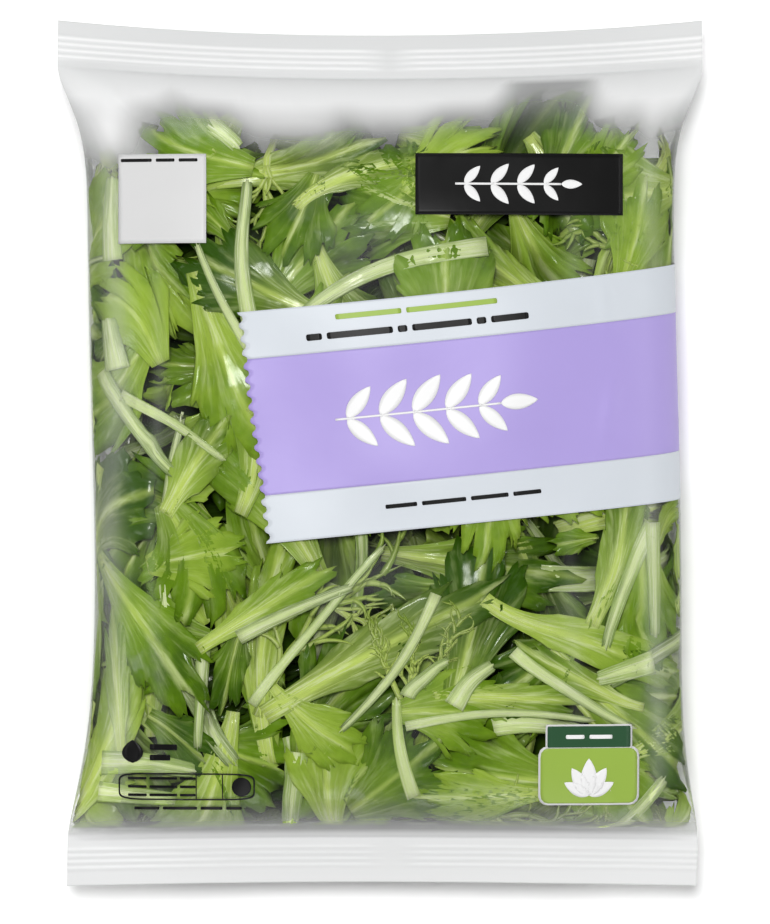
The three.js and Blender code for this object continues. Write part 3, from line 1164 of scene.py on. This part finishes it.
def make_leaves(materials):
    """Fills the bag from the core outwards, then lays the plainly shown leaves on top."""
    draw = np.random.default_rng(11)
    heap = Heap()
    sheets = {name: [] for name in KINDS}

    def lay(name, length, half, bend, at, heading, sink):
        x, y, up, marks = leaf(KINDS[name], length, half, bend, draw)
        # lift, a leaf's height share of its room, sets how much painted shade darkens it
        laid, marks["lift"] = heap.settle(x, y, up, at, heading, sink)
        points = to_bag(laid)
        for n in range(len(points)):
            sheets[name].append((points[n], {mark: values[n] for mark, values in marks.items()}))

    order = [name for name, kind in KINDS.items() for _ in range(kind["count"])]
    draw.shuffle(order)
    for name in order:
        kind = KINDS[name]
        left, flat, far = heap.lowest(draw)
        if left < SPARE_SHARE:
            break
        length = draw.uniform(*kind["length"])
        half = draw.uniform(*kind["half"])
        bend = kind["bend"] * draw.uniform(-1, 1)
        lay(name, length, half, bend, (flat, far), draw.uniform(0, 2 * math.pi), SINK)
    for name, base, tip, half, bend in SHOWN:
        start, end = (np.array([flat_x(*place), place[1]]) for place in (base, tip))
        lay(name, math.dist(base, tip), half, bend, (start + end) / 2, math.atan2(*(end - start)), 0.0)
    for name, made in sheets.items():
        piece = lay_sheets(name, made)
        thicken(piece, STALK_THICKNESS if name == "cut_stalks" else LEAF_THICKNESS, 0)
        dress(piece, materials[name])
    return heap


def make_core(material):
    """The depth of the heap that no leaf on show covers."""

    def place(column, row, front):
        girth = np.where(front, 2 * column - 1, 3 - 2 * column)
        y = CORE_ENDS[0] + (CORE_ENDS[1] - CORE_ENDS[0]) * row
        lumps = 1.2 * np.sin(girth * 31 + y * 0.21) * np.sin(y * 0.33 - girth * 9)
        outer = on_film(girth * HALF_FLAT, y)
        inner = core_point(outer)
        gap = outer - inner
        return inner + gap * ((lumps - 1.0) / 16)[:, None], {}

    piece = shell("deep_leaves", 60, 70, place)
    dress(piece, material)


# The surroundings


def make_floor():
    shape = bmesh.new()
    bmesh.ops.create_grid(shape, x_segments=2, y_segments=2, size=3)
    floor = put_in_scene("floor", mesh_of("floor", shape))
    floor.data.materials.append(floor_material())


def aim(thing, place, target):
    """Puts a lamp at a place and turns it to a target."""
    thing.location = place
    thing.rotation_euler = (Vector(target) - Vector(place)).to_track_quat("-Z", "Y").to_euler()


def area_lamp(name, place, size, energy):
    lamp = bpy.data.lights.new(name, "AREA")
    lamp.shape = "RECTANGLE"
    lamp.size, lamp.size_y = size
    lamp.energy = energy
    aim(put_in_scene(name, lamp), place, (0, 0, 0.03))


def make_lights():
    world = bpy.data.worlds.new("studio")
    world.use_nodes = True
    glow = world.node_tree.nodes["Background"].inputs
    glow["Color"].default_value = (1, 1, 1, 1)
    glow["Strength"].default_value = 0.16
    bpy.context.scene.world = world
    area_lamp("overhead", (-0.14, 0.5, 2.65), (0.8, 0.8), 47)
    area_lamp("key", (-0.4, 1.4, 1.0), (0.9, 0.6), 8)
    area_lamp("fill", (0.2, -1.5, 0.75), (1.4, 0.6), 10)
    area_lamp("left strip", (-1.05, 0.0, 0.6), (1.2, 0.25), 4.0)
    area_lamp("right strip", (1.05, 0.0, 0.5), (1.2, 0.25), 4.4)


CAMERA_HEIGHT = 2.5
VIEW_HEIGHT = 0.2987
VIEW_MIDDLE = (0.0016, -0.0029)


def make_camera():
    lens = bpy.data.cameras.new("camera")
    lens.sensor_width = 36
    lens.lens = 36 * (CAMERA_HEIGHT - SIDE_HEIGHT * MM) / VIEW_HEIGHT
    camera = put_in_scene("camera", lens)
    camera.location = (*VIEW_MIDDLE, CAMERA_HEIGHT)
    bpy.context.scene.camera = camera


bpy.context.scene.view_settings.view_transform = "Standard"
bpy.context.scene.view_settings.gamma = 0.85
make_camera()
make_lights()
make_floor()
clear_film = film_material()
heap = make_leaves(
    {name: leaf_material(name.replace("_", " "), 0.6 if name == "cut_stalks" else 0.1) for name in KINDS}
)
make_core(core_material())
make_film(clear_film, heap)
make_back_seam(clear_film)
make_print()
